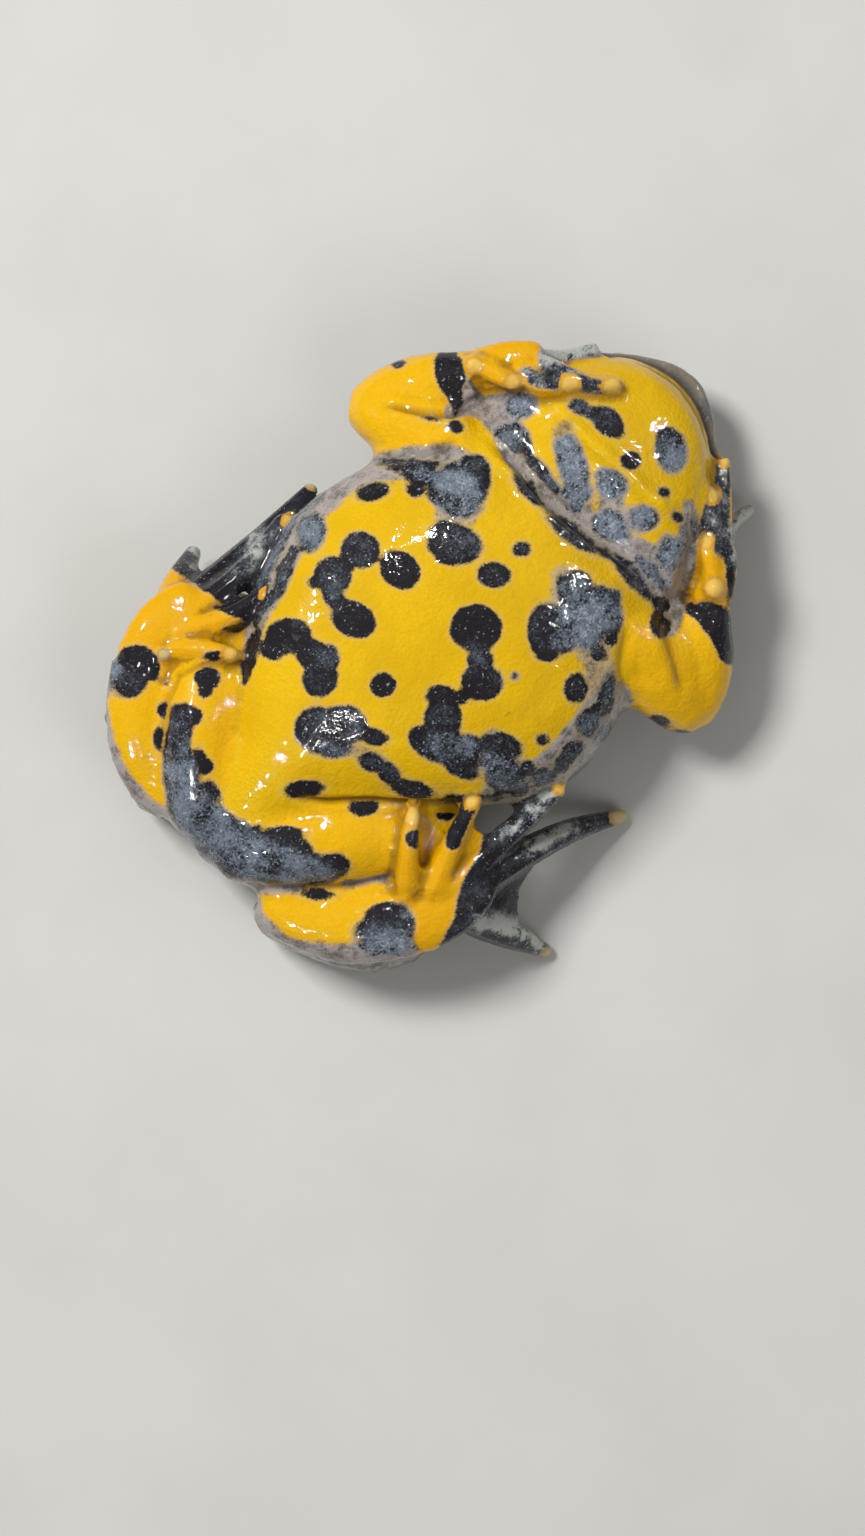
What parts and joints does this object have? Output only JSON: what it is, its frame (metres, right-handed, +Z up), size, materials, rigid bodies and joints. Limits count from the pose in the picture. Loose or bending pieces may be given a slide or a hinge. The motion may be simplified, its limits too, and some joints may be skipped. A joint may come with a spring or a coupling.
{
  "type": "yellow-bellied toad, a fire-bellied toad",
  "caption": "Still, life-size model of a yellow-bellied toad lying on its back, belly up, with bent arms and folded hind legs, resting on small flats on its back, eyelids and shanks.",
  "frame": {"origin": "on the floor, at the middle of the flat on the back", "axes": "+X from the vent to the snout, +Y the animal's own right side, +Z up, which is the side of the belly"},
  "size_m": [0.0473, 0.0372, 0.0129],
  "materials": {
    "belly_skin": "wet, finely grained skin",
    "back_skin": "wet, warty skin",
    "eye": "wet and clear"
  },
  "bodies": {
    "root": {"torso": "belly_skin", "head": "back_skin", "lower_jaw": "belly_skin", "eye_left": "eye", "eye_right": "eye", "upper_arm_left": "belly_skin", "upper_arm_right": "belly_skin", "forearm_left": "belly_skin", "forearm_right": "belly_skin", "hand_left": "belly_skin", "hand_right": "belly_skin", "thigh_left": "belly_skin", "thigh_right": "belly_skin", "shank_left": "belly_skin", "shank_right": "belly_skin", "tarsus_left": "belly_skin", "tarsus_right": "belly_skin", "foot_left": "belly_skin", "foot_right": "belly_skin"}
  },
  "joints": []
}
